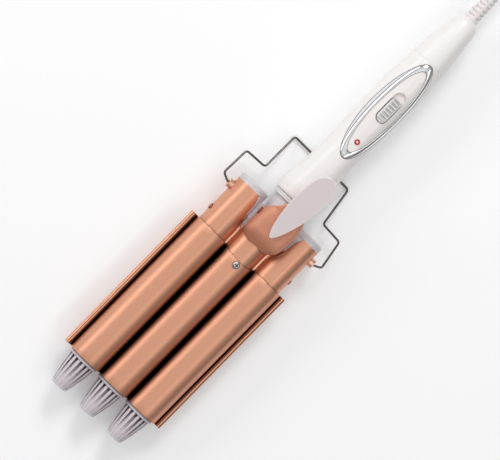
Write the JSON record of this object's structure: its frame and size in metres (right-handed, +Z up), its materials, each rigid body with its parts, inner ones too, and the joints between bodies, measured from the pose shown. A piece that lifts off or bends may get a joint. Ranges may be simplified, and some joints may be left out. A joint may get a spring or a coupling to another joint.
{
  "type": "hair waver",
  "caption": "Corded hair waver with parallel round barrels, a sprung wave-shaped clamp with thumb lever, a folding wire stand and a round handle.",
  "frame": {"origin": "middle of the waver's length, without its lead, on the surface that it lies on", "axes": "+X along the handle towards the lead, +Z up through the clamp and thumb lever, +Y to the right-hand side"},
  "size_m": [0.5425, 0.1417, 0.0629],
  "materials": {
    "pin_nickel": "nickel plated",
    "rose_metal": "satin rose gold, anodised",
    "rose_lacquer": "satin rose lacquer",
    "tip_plastic": "matt grey",
    "yoke_plastic": "matt light grey",
    "lever_plastic": "satin grey pink",
    "handle_plastic": "pearl white",
    "panel_plastic": "gloss pearl",
    "chrome_trim": "polished",
    "button_plastic": "matt grey",
    "lamp_red": "lit red",
    "led_clear": "clear",
    "wire_steel": "bright wire",
    "screw_steel": "plated",
    "spring_steel": "spring wire",
    "heater_ceramic": "fired",
    "spreader_aluminium": "extruded",
    "lead_sleeve": "glass sleeve",
    "board_laminate": "solder mask",
    "part_plastic": "moulded",
    "part_yellow": "dipped",
    "contact_brass": "stamped",
    "lead_pvc": "soft",
    "tie_plastic": "soft"
  },
  "bodies": {
    "body": {"plug_pins": "pin_nickel", "barrel_left": "rose_metal", "barrel_middle": "rose_metal", "barrel_right": "rose_metal", "stand_lug_left": "rose_metal", "stand_lug_right": "rose_metal", "tip_left": "tip_plastic", "tip_middle": "tip_plastic", "tip_right": "tip_plastic", "barrel_yoke": "yoke_plastic", "end_cap_left": "yoke_plastic", "end_cap_right": "yoke_plastic", "handle_upper_shell": "handle_plastic", "handle_lower_shell": "handle_plastic", "rear_sleeve": "handle_plastic", "front_collar": "handle_plastic", "control_panel": "panel_plastic", "bezel_ring": "chrome_trim", "indicator_lens": "lamp_red", "indicator_led": "led_clear", "barrel_screws": "screw_steel", "shell_screws": "screw_steel", "board_screws": "screw_steel", "pivot_pin": "screw_steel", "clamp_spring": "spring_steel", "heater_left": "heater_ceramic", "heater_middle": "heater_ceramic", "heater_right": "heater_ceramic", "spreader_left": "spreader_aluminium", "spreader_middle": "spreader_aluminium", "spreader_right": "spreader_aluminium", "thermal_fuse": "spreader_aluminium", "heater_leads": "lead_sleeve", "supply_leads": "lead_sleeve", "circuit_board": "board_laminate", "slide_switch": "part_plastic", "triac": "part_plastic", "capacitor": "part_yellow", "contact_ring": "contact_brass", "lead_run": "lead_pvc", "lead_coil": "lead_pvc", "lead_tail": "lead_pvc", "plug_body": "lead_pvc", "lead_tie": "tie_plastic"},
    "clamp": {"clamp_plate": "rose_metal", "clamp_arm": "rose_lacquer", "clamp_screw": "screw_steel", "thumb_lever": "lever_plastic", "lever_screws": "screw_steel"},
    "stand": {"stand_wire": "wire_steel"},
    "button": {"power_button": "button_plastic"},
    "swivel": {"swivel_hub": "part_plastic", "strain_relief": "lead_pvc"}
  },
  "joints": [
    {"name": "clamp_hinge", "type": "hinge", "parent": "body", "child": "clamp", "pos_m": [-0.0061, 0, 0.031], "axis": [0, 1, 0], "range_deg": [0, 18], "stiffness_Nm_per_rad": 0.5, "springref_deg": -29.79, "deforming": ["clamp_spring"]},
    {"name": "stand_hinge", "type": "hinge", "parent": "body", "child": "stand", "pos_m": [-0.0073, 0, 0.018], "axis": [0, 1, 0], "range_deg": [0, 105]},
    {"name": "button_slide", "type": "slide", "parent": "body", "child": "button", "axis": [1, 0, 0], "range_m": [0, 0.005]},
    {"name": "lead_swivel", "type": "hinge", "parent": "body", "child": "swivel", "pos_m": [0.1899, 0, 0.018], "axis": [1, 0, 0], "continuous": true}
  ]
}
